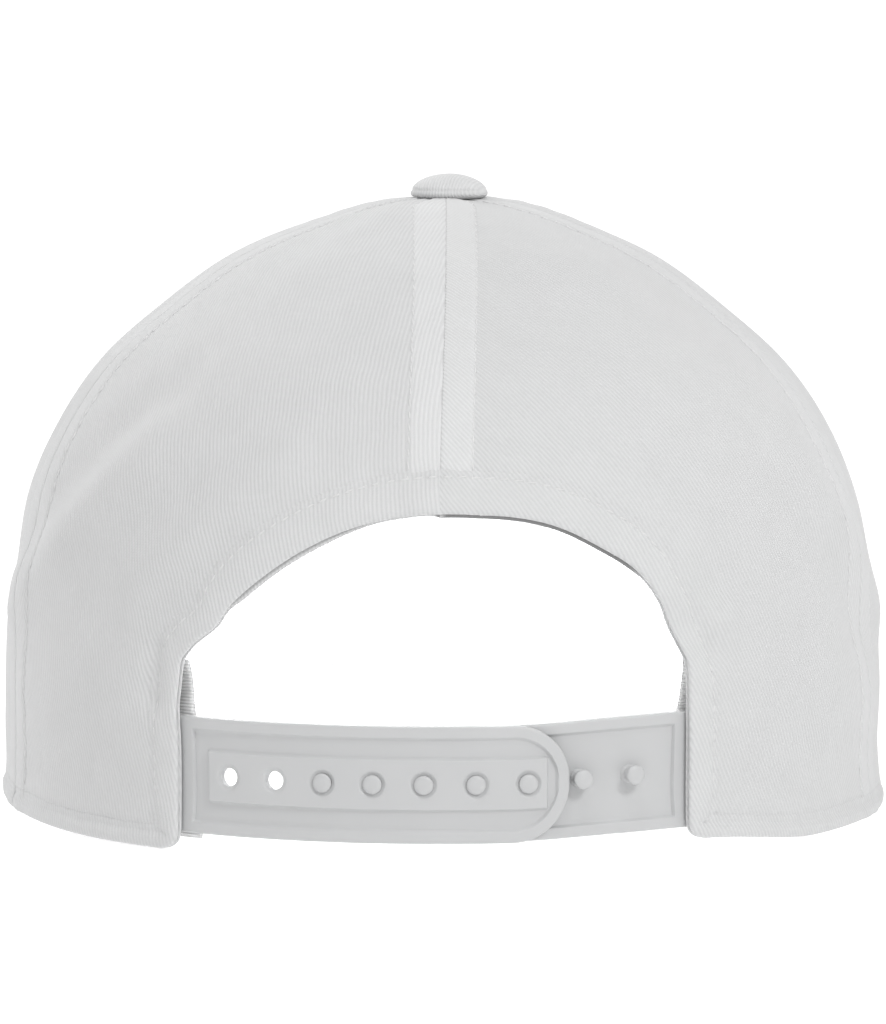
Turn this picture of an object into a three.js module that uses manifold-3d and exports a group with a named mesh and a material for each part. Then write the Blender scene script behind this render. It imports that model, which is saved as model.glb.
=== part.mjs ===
// A five panel cap of cotton twill, closed at the back by a snap strap with pegs and holes.
// Millimetres. +Z is up, the peak points to -Y and the strap lies on the +Y side, so +X is the wearer's left.
import * as THREE from "three";
import { mergeVertices } from "three/addons/utils/BufferGeometryUtils.js";
import Module from "manifold-3d";

const wasm = await Module();
wasm.setup();

// Crown
const crownWidth = 176; // over both sides, outside
const crownBack = 95; // from the button's axis to the outside of the back
const crownFront = 103; // from the button's axis to the outside of the front
const crownHeight = 120; // from the floor to the top of the panels
const crownWall = 1.6;
const backSeamAngle = 73; // degrees from the middle of the back to the seam of a back panel and a side panel
const frontSeamAngle = 128; // degrees from the middle of the back to the seam of a side panel and the front
const foldRise = 2; // height of the strongest fold in the cloth
const pieceGap = 0.3; // left between pieces that touch
const insideGap = 0.55; // left between the crown's cloth and what lies against its inside
const rimLevelled = 0.06; // below this level the wall turns upright, so its lower edge is flat
const foldsFade = 0.25; // below this level the folds run out towards the rim

// Rim
const frontRise = 16; // how far the peak holds the middle of the front rim off the floor
const leftCornerLift = 1; // the rim is drawn up beside the strap
const rightCornerLift = 3.5;
const cornerFade = 28; // degrees in which that lift runs out

// Arch over the strap
const archLeft = 48.6; // from the middle of the back to the opening's upright side
const archRight = 45.8;
const archTop = 64.6; // above the floor
const archShoulder = 36; // height of the upright sides
const archPowerLeft = 1.9; // of the arch's curve: 2 is a parabola, higher is squarer
const archPowerRight = 3.1;
const archSteps = 24;

// Peak
const peakReach = 68; // in front of the crown
const peakHalfWidth = 82;
const peakThickness = 3;
const peakDip = 7; // how far the front edge lies lower than the middle of the front rim
const peakCornerDrop = 3.5; // width of the blunt corner beside the crown
const peakTurn = 112; // degrees from the tip to the corner, round the outline's own middle
const peakSquareness = 0.95; // power of the outline's oval: lower is squarer
const peakBendPower = 1.4; // how soon the peak's bend runs out towards its sides

// Button
const buttonRadius = 7.8;
const buttonHeight = 4.9;
const buttonSide = 1.6; // height of the upright edge below the dome
const shankRadius = 2.6;
const buttonShift = 1.2; // the button sits a little to the wearer's right
const buttonEdgeRows = [0.94, 1, 0.98]; // shares of the radius at the edge's foot, middle and top

// Sweatband
const bandHeight = 34;
const bandFromRim = 1.5;
const bandThickness = 1;
const bandShowsLeft = 2.5; // how far its left end stands out past the arch's side
const bandShowsRight = 1;
const bandFade = 16; // degrees in which the band comes back to the cloth beyond the strap's end
const bandClears = 1.2; // share of the strap's hidden length along which the band stays behind it

// Snap strap, two moulded halves of one section
const strapHeight = 21.4;
const strapFromFloor = 4;
const strapSheet = 1.1; // thickness between the raised borders
const strapRelief = 0.4; // how far borders and plate are raised
const strapBorder = 2.2;
const strapSlope = 0.25; // width of the sloping side of what is raised
const strapTuck = 13; // length hidden between crown and sweatband
const leftStrapEnd = -25.2; // along the back from its middle, towards the wearer's left
const rightStrapEnd = 27;
const pegPitch = 10.1;
const firstHole = 43.5; // along the back, the hole nearest the wearer's left
const holeCount = 7;
const pegCount = 7;
const freePegs = 2; // pegs that stand beside the end of the left half
const holeRadius = 1.55;
const holeRecess = 0.5; // the recess is this much wider than the hole
const pegHeadRadius = 1.85;
const pegHeadRise = 1.1;
const pegHeadRows = [
  { radius: 1, rise: 0 }, // shares of the peg head's radius and rise
  { radius: 0.95, rise: 0.45 },
  { radius: 0.6, rise: 0.88 },
  { radius: 0, rise: 1 },
];
const plateHeight = 8.4;
const plateStart = 47.6;
const plateEnd = -20.4;
const stackRun = 19; // length in which the right half dives behind the left one

// How finely the pieces are divided
const panelRows = 16;
const backColumns = 16;
const sideColumns = 11;
const frontColumns = 20;
const peakColumns = 26;
const peakRows = 6;
const bandColumns = 44;
const bandRows = 4;
const strapSteps = 12; // along the straight stretch
const strapEndSteps = 5; // round the end
const roundSides = 10;
const buttonSteps = 5; // up the button's dome

// One row for each level of the crown: its height, and its reach to the side, front and back,
// as shares of the crown's sizes.
const holeEdge = shankRadius + pieceGap + buttonShift;
const crownRows = [
  { height: 0.0, side: 1.0, front: 1.0, back: 1.0 },
  { height: 0.09, side: 0.987, front: 0.995, back: 0.992 },
  { height: 0.22, side: 0.992, front: 0.985, back: 0.985 },
  { height: 0.36, side: 0.97, front: 0.965, back: 0.962 },
  { height: 0.5, side: 0.94, front: 0.93, back: 0.925 },
  { height: 0.62, side: 0.875, front: 0.87, back: 0.862 },
  { height: 0.73, side: 0.775, front: 0.78, back: 0.765 },
  { height: 0.82, side: 0.64, front: 0.655, back: 0.635 },
  { height: 0.9, side: 0.49, front: 0.51, back: 0.485 },
  { height: 0.955, side: 0.325, front: 0.345, back: 0.325 },
  { height: 0.99, side: 0.18, front: 0.19, back: 0.18 },
  {
    height: 1.0,
    side: holeEdge / (crownWidth / 2),
    front: holeEdge / crownFront,
    back: holeEdge / crownBack,
  },
];

// Folds of the crown. Angles are degrees from the middle of the back and heights are shares of the crown's
// height. The width is a share of the crown's width, and the rise a share of the strongest fold.
const foldRows = [
  { fromAngle: 76, fromHeight: 0.35, toAngle: 48, toHeight: 0.63, width: 0.045, rise: 1.0 },
  { fromAngle: 70, fromHeight: 0.46, toAngle: 47, toHeight: 0.71, width: 0.04, rise: -0.9 },
  { fromAngle: 43, fromHeight: 0.41, toAngle: 22, toHeight: 0.61, width: 0.035, rise: 0.6 },
  { fromAngle: 39, fromHeight: 0.25, toAngle: 37, toHeight: 0.3, width: 0.03, rise: -0.5 },
  { fromAngle: -54, fromHeight: 0.51, toAngle: -72, toHeight: 0.3, width: 0.04, rise: -0.7 },
  { fromAngle: -62, fromHeight: 0.56, toAngle: -80, toHeight: 0.36, width: 0.045, rise: 0.5 },
  { fromAngle: -34, fromHeight: 0.37, toAngle: -40, toHeight: 0.42, width: 0.03, rise: -0.5 },
];

const radians = THREE.MathUtils.degToRad;
const mix = THREE.MathUtils.lerp;
const smooth = (share) => THREE.MathUtils.smoothstep(share, 0, 1);

// Reads the crown's table between its rows, on a smooth curve. The level is 0 at the rim and 1 at the top.
function crownSection(level) {
  const last = crownRows.length - 1;
  const along = THREE.MathUtils.clamp(level, 0, 1) * last;
  const index = Math.min(Math.floor(along), last - 1);
  const share = along - index;
  const section = {};
  for (const column of Object.keys(crownRows[0])) {
    const low = crownRows[index][column];
    const high = crownRows[index + 1][column];
    const before = index > 0 ? crownRows[index - 1][column] : 2 * low - high;
    const after = index + 2 <= last ? crownRows[index + 2][column] : 2 * high - low;
    const bend = 2 * before - 5 * low + 4 * high - after;
    const twist = 3 * low - 3 * high + after - before;
    section[column] = (2 * low + (high - before) * share + bend * share ** 2 + twist * share ** 3) / 2;
  }
  return section;
}

// The level at which the crown has a given height above its rim, as a share of its whole height.
function levelAt(heightShare) {
  let low = 0;
  let high = 1;
  while (high - low > 1e-6) {
    const middle = (low + high) / 2;
    if (crownSection(middle).height < heightShare) low = middle;
    else high = middle;
  }
  return low;
}

// The peak's bend across its width: 1 in the middle, 0 where its sides touch the floor.
function peakBend(x) {
  return Math.max(0, 1 - (x / peakHalfWidth) ** 2) ** peakBendPower;
}

// How far the rim is off the floor, at an angle in radians from the middle of the back.
function rimLift(angle) {
  if (Math.cos(angle) < 0) return frontRise * peakBend((crownWidth / 2) * Math.sin(angle));
  const cornerLift = Math.sin(angle) > 0 ? leftCornerLift : rightCornerLift;
  const fullAngle = Math.asin(archLeft / (crownWidth / 2));
  const turned = Math.acos(Math.cos(angle));
  return cornerLift * smooth(1 - (turned - fullAngle) / radians(cornerFade));
}

// How far the folds push the cloth out at one place.
function foldShift(angle, height) {
  const spread = (turn, rise) => new THREE.Vector2(turn * (crownWidth / 2), rise);
  let shift = 0;
  for (const fold of foldRows) {
    const start = spread(radians(fold.fromAngle), fold.fromHeight * crownHeight);
    const run = spread(radians(fold.toAngle), fold.toHeight * crownHeight).sub(start);
    const place = spread(Math.atan2(Math.sin(angle), Math.cos(angle)), height).sub(start);
    const share = THREE.MathUtils.clamp(place.dot(run) / run.lengthSq(), 0, 1);
    const distance = place.sub(run.multiplyScalar(share)).length() / (fold.width * crownWidth);
    shift += foldRise * fold.rise * Math.exp(-(distance ** 2));
  }
  return shift;
}

// A point of the crown's smooth outside.
function crownOutside(angle, level) {
  const section = crownSection(level);
  const lift = rimLift(angle);
  const reach = Math.cos(angle) > 0 ? crownBack * section.back : crownFront * section.front;
  const x = (crownWidth / 2) * section.side * Math.sin(angle);
  return new THREE.Vector3(x, reach * Math.cos(angle), mix(lift, crownHeight, section.height));
}

// The direction out of the cloth. At the rim it is level, so the wall's lower edge is flat.
function crownNormal(angle, level) {
  const step = 1e-3;
  const around = crownOutside(angle + step, level).sub(crownOutside(angle - step, level));
  const up = crownOutside(angle, level + step).sub(crownOutside(angle, level - step));
  const normal = up.cross(around).normalize();
  normal.z *= smooth(level / rimLevelled);
  return normal.normalize();
}

// A place in the crown's wall or inside it, at a depth below its outside.
function crownPlace(angle, level, depth) {
  const place = crownOutside(angle, level);
  const shift = foldShift(angle, place.z) * smooth(level / foldsFade);
  return place.addScaledVector(crownNormal(angle, level), shift - depth);
}

// A solid made by bending a divided box: place(u, v, w) gives where each point of the unit box goes.
function bentBox(columns, rows, place) {
  const box = new THREE.BoxGeometry(1, 1, 1, columns, rows, 1);
  const corners = box.getAttribute("position");
  for (let i = 0; i < corners.count; i += 1) {
    const moved = place(corners.getX(i) + 0.5, corners.getY(i) + 0.5, corners.getZ(i) + 0.5);
    corners.setXYZ(i, moved.x, moved.y, moved.z);
  }
  return solidOf(box);
}

// A closed geometry as a solid that can be joined and cut.
function solidOf(geometry) {
  const bare = new THREE.BufferGeometry();
  const whole = geometry.index ? geometry : mergeVertices(geometry);
  bare.setAttribute("position", whole.getAttribute("position"));
  bare.setIndex(whole.index);
  const merged = mergeVertices(bare, 1e-4);
  const triVerts = new Uint32Array(merged.index.array);
  const vertProperties = new Float32Array(merged.getAttribute("position").array);
  return new wasm.Manifold(new wasm.Mesh({ numProp: 3, vertProperties, triVerts }));
}

function meshOf(name, solid, material) {
  const made = solid.getMesh();
  const geometry = new THREE.BufferGeometry();
  geometry.setAttribute("position", new THREE.BufferAttribute(new Float32Array(made.vertProperties), 3));
  geometry.setIndex(new THREE.BufferAttribute(new Uint32Array(made.triVerts), 1));
  geometry.computeVertexNormals();
  const mesh = new THREE.Mesh(geometry, material);
  mesh.name = name;
  return mesh;
}

// One panel of the crown, between two seams. Each side keeps half the gap to its seam.
function crownPanel(fromAngle, toAngle, columns) {
  return bentBox(columns, panelRows, (u, v, w) => {
    const section = crownSection(v);
    const middle = (fromAngle + toAngle) / 2;
    const reach = Math.cos(middle) > 0 ? crownBack * section.back : crownFront * section.front;
    const radius = Math.min(reach, (crownWidth / 2) * section.side) - crownWall;
    const inset = Math.asin(pieceGap / 2 / Math.max(radius, holeEdge - crownWall));
    const angle = mix(toAngle - inset, fromAngle + inset, u);
    return crownPlace(angle, v, crownWall * (1 - w));
  });
}

// The opening over the strap, as a block from the inside of the crown out past its back.
function archBlock() {
  const shape = new THREE.Shape();
  const below = -2 * pieceGap;
  shape.moveTo(archLeft, below);
  shape.lineTo(archLeft, archShoulder);
  for (let i = 1; i < archSteps; i += 1) {
    const across = Math.cos((Math.PI * i) / archSteps);
    const half = across > 0 ? archLeft : archRight;
    const power = across > 0 ? archPowerLeft : archPowerRight;
    shape.lineTo(half * across, mix(archTop, archShoulder, Math.abs(across) ** power));
  }
  shape.lineTo(-archRight, archShoulder);
  shape.lineTo(-archRight, below);
  shape.closePath();
  const block = new THREE.ExtrudeGeometry(shape, { depth: crownBack, bevelEnabled: false });
  block.rotateX(Math.PI / 2);
  block.translate(0, crownBack + archTop / 2, 0);
  return solidOf(block);
}

// The peak: its inner edge follows the crown's rim, its outer edge is a squared oval.
function peakSolid() {
  const halfSpan = radians(180 - frontSeamAngle);
  const cornerY = -crownFront * Math.cos(halfSpan) - peakCornerDrop;
  const tipY = -(crownFront + peakReach);
  const turn = radians(peakTurn);
  const cornerShare = Math.abs(Math.cos(turn)) ** peakSquareness;
  const halfLength = (cornerY - tipY) / (1 + cornerShare);
  return bentBox(peakColumns, peakRows, (u, v, w) => {
    const across = mix(-1, 1, u);
    const rim = crownPlace(Math.PI - across * halfSpan, 0, -pieceGap);
    const around = across * turn;
    const x = peakHalfWidth * Math.sign(around) * Math.abs(Math.sin(around)) ** peakSquareness;
    const forward = Math.sign(Math.cos(around)) * Math.abs(Math.cos(around)) ** peakSquareness;
    const y = tipY + halfLength * (1 - forward);
    const place = new THREE.Vector3(mix(x, rim.x, v), mix(y, rim.y, v), 0);
    place.z = (frontRise - peakDip * (1 - v)) * peakBend(place.x) + peakThickness * w;
    return place;
  });
}

// The covered button: a dome with an upright edge, and the shank that holds it through the panels.
function buttonSolid() {
  const base = crownHeight + pieceGap;
  const [foot, edge, shoulder] = buttonEdgeRows.map((share) => share * buttonRadius);
  const profile = [
    new THREE.Vector2(0, crownHeight - crownWall),
    new THREE.Vector2(shankRadius, crownHeight - crownWall),
    new THREE.Vector2(shankRadius, base),
    new THREE.Vector2(foot, base),
    new THREE.Vector2(edge, base + buttonSide / 2),
  ];
  for (let i = 0; i < buttonSteps; i += 1) {
    const turn = ((Math.PI / 2) * i) / buttonSteps;
    const rise = (buttonHeight - buttonSide) * Math.sin(turn);
    profile.push(new THREE.Vector2(shoulder * Math.cos(turn), base + buttonSide + rise));
  }
  profile.push(new THREE.Vector2(0, base + buttonHeight));
  const button = new THREE.LatheGeometry(profile, 2 * roundSides);
  button.rotateX(Math.PI / 2);
  button.translate(-buttonShift, 0, 0);
  return solidOf(button);
}

// Places along the back are lengths from its middle, measured round the outside.
const backAngle = (along) => along / (crownWidth / 2);
const archAngle = (half) => Math.asin(half / (crownWidth / 2));
const tuckDepth = crownWall + insideGap;
const strapThickness = strapSheet + strapRelief;
const leftStart = archAngle(archLeft) * (crownWidth / 2) + strapTuck;
const rightStart = -(archAngle(archRight) * (crownWidth / 2) + strapTuck);

// A point on the strap's route: where it is along the back, how high, and how deep below the crown's outside.
function backPlace(along, height, depth) {
  const angle = backAngle(along);
  return crownPlace(angle, levelAt((height - rimLift(angle)) / (crownHeight - rimLift(angle))), depth);
}

function bandSolid() {
  const from = archAngle(archLeft - bandShowsLeft);
  const to = 2 * Math.PI - archAngle(archRight - bandShowsRight);
  const low = levelAt(bandFromRim / crownHeight);
  const high = levelAt((bandFromRim + bandHeight) / crownHeight);
  const clearAngle = (bandClears * strapTuck) / (crownWidth / 2);
  return bentBox(bandColumns, bandRows, (u, v, w) => {
    const angle = mix(to, from, u);
    const nearest = Math.min(angle - archAngle(archLeft), 2 * Math.PI - archAngle(archRight) - angle);
    const behindStrap = smooth(1 - (nearest - clearAngle) / radians(bandFade));
    const depth = tuckDepth + behindStrap * (strapThickness + pieceGap);
    return crownPlace(angle, mix(low, high, v), depth + bandThickness * (1 - w));
  });
}

// The lines across one half of the strap, from its rounded end to the end under the crown. Each has its place
// along the back, half the strap's height there, and the half height inside the raised border.
function strapStations(start, end, plate) {
  const heading = Math.sign(start - end);
  const half = strapHeight / 2;
  const stationAt = (fromEnd) => {
    const edge = Math.sqrt(half ** 2 - Math.max(0, half - fromEnd) ** 2);
    const insideHalf = half - strapBorder;
    const inner = Math.sqrt(Math.max(0, insideHalf ** 2 - Math.max(0, half - fromEnd) ** 2));
    return { along: end + heading * fromEnd, edge, inner: fromEnd > strapBorder ? inner : 0 };
  };
  const fixed = [strapBorder, strapBorder + strapSlope];
  for (const plateEdge of plate ? [plate.start, plate.end] : []) {
    const outward = Math.sign(plateEdge - (plate.start + plate.end) / 2) * strapSlope;
    fixed.push(heading * (plateEdge - end), heading * (plateEdge + outward - end));
  }
  const regular = [];
  for (let i = 0; i < strapEndSteps; i += 1) {
    regular.push(half * (1 - Math.cos(((Math.PI / 2) * (i + 0.4)) / strapEndSteps)));
  }
  const wholeLength = Math.abs(start - end);
  for (let i = 0; i <= strapSteps; i += 1) regular.push(mix(half, wholeLength, i / strapSteps));
  const clear = regular.filter((place) => fixed.every((other) => Math.abs(place - other) > 4 * strapSlope));
  const stations = [...fixed, ...clear].map(stationAt);
  return stations.sort((a, b) => b.along - a.along);
}

// One half as a sheet with a raised border, and with a raised plate where one is given.
function strapSheetSolid({ start, end, depthAt, plate }) {
  const stations = strapStations(start, end, plate);
  const middle = strapFromFloor + strapHeight / 2;
  const plateHalf = plateHeight / 2;
  const smallest = strapSlope / 2;
  const columnAt = (station) => {
    const inner = Math.max(station.inner, 4 * smallest);
    const foot = inner - (inner > 8 * smallest ? strapSlope : smallest);
    const rimmed = station.inner > strapBorder / 2 ? 0 : 1;
    const column = [
      { rise: station.edge, raised: 1 },
      { rise: inner, raised: 1 },
      { rise: foot, raised: rimmed },
    ];
    if (!plate) return [...column, { rise: 0, raised: rimmed }];
    const betweenEnds = station.along < plate.start + smallest && station.along > plate.end - smallest;
    const onPlate = betweenEnds ? 1 : rimmed;
    const plateFoot = Math.min(plateHalf + strapSlope, 0.8 * foot);
    const plateTop = Math.min(plateHalf, 0.6 * foot);
    column.push({ rise: plateFoot, raised: rimmed }, { rise: plateTop, raised: onPlate });
    return [...column, { rise: 0, raised: onPlate }];
  };
  const lines = columnAt(stations[0]).length - 1;
  return bentBox(stations.length - 1, 2 * lines, (u, v, w) => {
    const station = stations[Math.round(u * (stations.length - 1))];
    const column = columnAt(station);
    const row = Math.round(v * 2 * lines) - lines;
    const { rise, raised } = column[lines - Math.abs(row)];
    const outside = depthAt(station.along) + strapRelief * (1 - raised);
    const inside = depthAt(station.along) + strapThickness;
    return backPlace(station.along, middle + Math.sign(row) * rise, mix(inside, outside, w));
  });
}

// A turned shape that stands on the strap, its axis pointing straight out of it.
function standing(profile, along, depth) {
  const turned = new THREE.LatheGeometry(profile, roundSides);
  const middle = strapFromFloor + strapHeight / 2;
  const out = crownNormal(backAngle(along), levelAt(middle / crownHeight));
  turned.applyQuaternion(new THREE.Quaternion().setFromUnitVectors(new THREE.Vector3(0, 1, 0), out));
  const foot = backPlace(along, middle, depth);
  turned.translate(foot.x, foot.y, foot.z);
  return solidOf(turned);
}

const leftDepth = () => tuckDepth;
function rightDepth(along) {
  const step = strapThickness + pieceGap;
  const diveEnd = leftStrapEnd - pieceGap;
  return tuckDepth + step * smooth((along - (diveEnd - stackRun)) / stackRun);
}

function leftStrapSolid() {
  const plate = { start: plateStart, end: plateEnd };
  let strap = strapSheetSolid({ start: leftStart, end: leftStrapEnd, depthAt: leftDepth, plate });
  for (let i = 0; i < holeCount; i += 1) {
    const along = firstHole - i * pegPitch;
    const recessRadius = holeRadius + holeRecess;
    const profile = [
      new THREE.Vector2(0, -2 * strapThickness),
      new THREE.Vector2(holeRadius, -2 * strapThickness),
      new THREE.Vector2(holeRadius, -strapRelief / 2),
      new THREE.Vector2(recessRadius, -strapRelief / 2),
      new THREE.Vector2(recessRadius, strapThickness),
      new THREE.Vector2(0, strapThickness),
    ];
    strap = strap.subtract(standing(profile, along, tuckDepth));
  }
  return strap;
}

const headProfile = (foot) =>
  pegHeadRows.map((row) => new THREE.Vector2(pegHeadRadius * row.radius, foot + pegHeadRise * row.rise));

function rightStrapSolid() {
  let strap = strapSheetSolid({ start: rightStart, end: rightStrapEnd, depthAt: rightDepth });
  const shaft = holeRadius - pieceGap;
  const throughLeft = strapThickness + pieceGap + strapRelief;
  for (let i = 0; i < pegCount; i += 1) {
    const along = firstHole - (holeCount + freePegs - 1 - i) * pegPitch;
    const neck = throughLeft + pieceGap;
    const profile = [
      new THREE.Vector2(0, -strapSheet / 2),
      new THREE.Vector2(shaft, -strapSheet / 2),
      new THREE.Vector2(shaft, neck),
      ...headProfile(neck),
    ];
    strap = strap.add(standing(profile, along, rightDepth(along) + strapRelief));
  }
  return strap;
}

const twill = new THREE.MeshStandardMaterial({ color: 0xe9eaea, roughness: 0.9, metalness: 0 });
const tape = new THREE.MeshStandardMaterial({ color: 0xe2e3e3, roughness: 0.95, metalness: 0 });
const moulding = new THREE.MeshStandardMaterial({ color: 0xd9dadb, roughness: 0.45, metalness: 0 });

const backSeam = radians(backSeamAngle);
const frontSeam = radians(frontSeamAngle);
const arch = archBlock();
const cap = new THREE.Group();
cap.add(meshOf("back_panel_left", crownPanel(0, backSeam, backColumns).subtract(arch), twill));
cap.add(meshOf("back_panel_right", crownPanel(-backSeam, 0, backColumns).subtract(arch), twill));
cap.add(meshOf("side_panel_left", crownPanel(backSeam, frontSeam, sideColumns), twill));
cap.add(meshOf("side_panel_right", crownPanel(-frontSeam, -backSeam, sideColumns), twill));
cap.add(meshOf("front_panel", crownPanel(frontSeam, 2 * Math.PI - frontSeam, frontColumns), twill));
cap.add(meshOf("peak", peakSolid(), twill));
cap.add(meshOf("top_button", buttonSolid(), twill));
cap.add(meshOf("sweatband", bandSolid(), tape));
cap.add(meshOf("strap_left", leftStrapSolid(), moulding));
cap.add(meshOf("strap_right", rightStrapSolid(), moulding));

// The origin is on the floor, in the middle of the whole cap's box.
const box = new THREE.Box3().setFromObject(cap);
const middle = box.getCenter(new THREE.Vector3());
cap.position.set(-middle.x, -middle.y, -box.min.z);

const fivePanelCap = new THREE.Group();
fivePanelCap.add(cap);
export default fivePanelCap;
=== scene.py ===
# A five panel cap of white cotton twill, closed at the back by a plastic snap strap.
# Shapes are worked out in millimetres round the button's axis, and moved into the frame in metres.
import math

import bmesh
import bpy
from mathutils import Matrix, Vector, kdtree, noise


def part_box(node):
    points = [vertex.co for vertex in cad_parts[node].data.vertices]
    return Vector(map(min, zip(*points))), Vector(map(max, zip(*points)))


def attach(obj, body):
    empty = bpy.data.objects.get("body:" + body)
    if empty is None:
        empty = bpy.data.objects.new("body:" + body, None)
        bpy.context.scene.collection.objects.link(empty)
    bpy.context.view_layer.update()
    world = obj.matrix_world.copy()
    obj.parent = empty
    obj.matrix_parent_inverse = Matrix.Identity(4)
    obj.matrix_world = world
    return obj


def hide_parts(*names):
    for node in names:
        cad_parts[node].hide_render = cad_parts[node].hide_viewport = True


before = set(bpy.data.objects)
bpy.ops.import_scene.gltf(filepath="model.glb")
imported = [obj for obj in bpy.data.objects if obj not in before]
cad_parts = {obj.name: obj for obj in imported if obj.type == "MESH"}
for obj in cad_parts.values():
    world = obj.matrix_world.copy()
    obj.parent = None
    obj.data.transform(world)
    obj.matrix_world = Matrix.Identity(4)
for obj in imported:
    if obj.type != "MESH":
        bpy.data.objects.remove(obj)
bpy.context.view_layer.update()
buttonLow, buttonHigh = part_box("top_button")
axisY = (buttonLow.y + buttonHigh.y) / 2 * 1000  # the crown's axis, in millimetres
print("frame loaded")


def smooth(share):
    share = min(max(share, 0.0), 1.0)
    return share * share * (3 - 2 * share)


def mix(low, high, share):
    return low + (high - low) * share


def bell(distance, width):
    return math.exp(-((distance / width) ** 2))


def rounded(distance, radius):  # how much of its full thickness a rounded edge has this far in
    return math.sqrt(max(0.0, 1 - max(0.0, 1 - distance / radius) ** 2))


def wander(seed, *place):  # smooth noise between -1 and 1
    x, y, z = (*place, 0.0, 0.0)[:3]
    return noise.noise(Vector((x + 17.3 * seed, y - 9.1 * seed, z + 4.7 * seed)))


# The crown

crown = {
    "half": 88.0,  # half its width
    "back": 95.0,
    "front": 103.0,
    "height": 120.0,
    "wall": 1.4,
    "backSeam": 73.0,  # degrees from the middle of the back
    "frontSeam": 128.0,
    "frontRise": 16.0,  # how far the peak holds the front rim off the floor
    "peakHalf": 82.0,
    "bendPower": 1.4,
    "cornerAngle": 33.0,
    "leftLift": 0.2,  # the rim is drawn up beside the strap
    "leftFade": 42.0,
    "rightLift": 2.6,
    "rightFade": 22.0,
    "middleLift": 1.0,
    "middleFade": 28.0,
    "leftBow": 2.2,  # the left rim bows up off the floor at the side
    "leftBowAngle": 90.0,
    "leftBowSpread": 26.0,
    "drift": 0.6,  # the middle seam wanders sideways between arch and button
    "driftSpread": 0.35,
    "driftFrom": 65.0,
    "driftOver": 50.0,
    "foldsFade": 0.25,
    "unevenness": 0.35,  # height of the slow swells in the cloth
    "swellWidth": 26.0,
    "swellHeight": 22.0,
}
# height, side, front and back, as shares of the crown's sizes
crownRows = [
    (0.0, 1.0, 1.0, 1.0),
    (0.09, 0.987, 0.995, 0.992),
    (0.22, 0.992, 0.985, 0.985),
    (0.36, 0.97, 0.965, 0.962),
    (0.5, 0.94, 0.93, 0.925),
    (0.62, 0.875, 0.87, 0.862),
    (0.73, 0.775, 0.78, 0.765),
    (0.82, 0.64, 0.655, 0.635),
    (0.9, 0.49, 0.51, 0.485),
    (0.955, 0.325, 0.345, 0.325),
    (0.99, 0.18, 0.19, 0.18),
    (1.0, 0.0466, 0.0398, 0.0432),
]
# from angle and height, to angle and height, width and rise, in degrees and millimetres
foldRows = [
    (76, 42, 48, 75.6, 7.9, 2.0),
    (70, 55.2, 47, 85.2, 7.0, -1.8),
    (43, 49.2, 22, 73.2, 6.2, 1.2),
    (39, 30, 37, 36, 5.3, -1.0),
    (-54, 61.2, -72, 36, 7.0, -1.4),
    (-62, 67.2, -80, 43.2, 7.9, 1.0),
    (-34, 44.4, -40, 50.4, 5.3, -1.0),
    (96, 14, 74, 9, 7.0, 1.9),
    (100, 92, 92, 74, 8.0, -1.1),
    (41, 45, 29, 59, 4.0, -0.6),
    (-30, 43, -36, 37, 3.0, -0.9),
    (39.2, 38, 39, 27, 1.7, -0.9),
    (-33, 47, -40, 42, 3.0, 0.7),
    (36, 31, 46, 24, 3.5, -0.5),
    (-96, 7, -76, 5, 5.0, 0.7),
    (60, 117.5, 120, 117.5, 3.0, -0.5),
    (-97, 41, -84, 39, 6.0, 1.0),
    (84, 38, 97, 38, 7.0, 0.6),
]
sections = {}


def crownSection(level):
    key = round(min(max(level, 0.0), 1.0), 5)
    if key not in sections:
        last = len(crownRows) - 1
        index = min(int(key * last), last - 1)
        share = key * last - index
        found = []
        for column in range(4):
            low, high = crownRows[index][column], crownRows[index + 1][column]
            before = crownRows[index - 1][column] if index > 0 else 2 * low - high
            after = crownRows[index + 2][column] if index + 2 <= last else 2 * high - low
            bend = 2 * before - 5 * low + 4 * high - after
            twist = 3 * low - 3 * high + after - before
            found.append((2 * low + (high - before) * share + bend * share**2 + twist * share**3) / 2)
        sections[key] = found
    return sections[key]


def levelAt(heightShare):
    low, high = 0.0, 1.0
    for _ in range(18):
        middle = (low + high) / 2
        if crownSection(middle)[0] < heightShare:
            low = middle
        else:
            high = middle
    return low


def peakBend(x):
    return max(0.0, 1 - (x / crown["peakHalf"]) ** 2) ** crown["bendPower"]


def rimLift(angle):
    side = "left" if math.sin(angle) > 0 else "right"
    turned = math.degrees(math.acos(max(-1.0, min(1.0, math.cos(angle)))))
    bow = 0.0
    if side == "left":
        bow = crown["leftBow"] * bell(turned - crown["leftBowAngle"], crown["leftBowSpread"])
    if math.cos(angle) < 0:
        return bow + crown["frontRise"] * peakBend(crown["half"] * math.sin(angle))
    lift = crown[side + "Lift"] * smooth(1 - (turned - crown["cornerAngle"]) / crown[side + "Fade"])
    return bow + mix(crown["middleLift"], lift, smooth(turned / crown["middleFade"]))


def liftSlope(angle):
    step = 1e-3
    return (rimLift(angle + step) - rimLift(angle - step)) / (2 * step)


def levelFor(angle, height):  # the rim isn't level, so this depends on the angle
    lift = rimLift(angle)
    return levelAt(max(0.0, (height - lift) / (crown["height"] - lift)))


def crownReach(angle, front, back):
    return crown["back"] * back if math.cos(angle) > 0 else crown["front"] * front


def crownOutside(angle, level):
    height, side, front, back = crownSection(level)
    x = crown["half"] * side * math.sin(angle)
    y = crownReach(angle, front, back) * math.cos(angle)
    return Vector((x, y, mix(rimLift(angle), crown["height"], height)))


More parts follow.
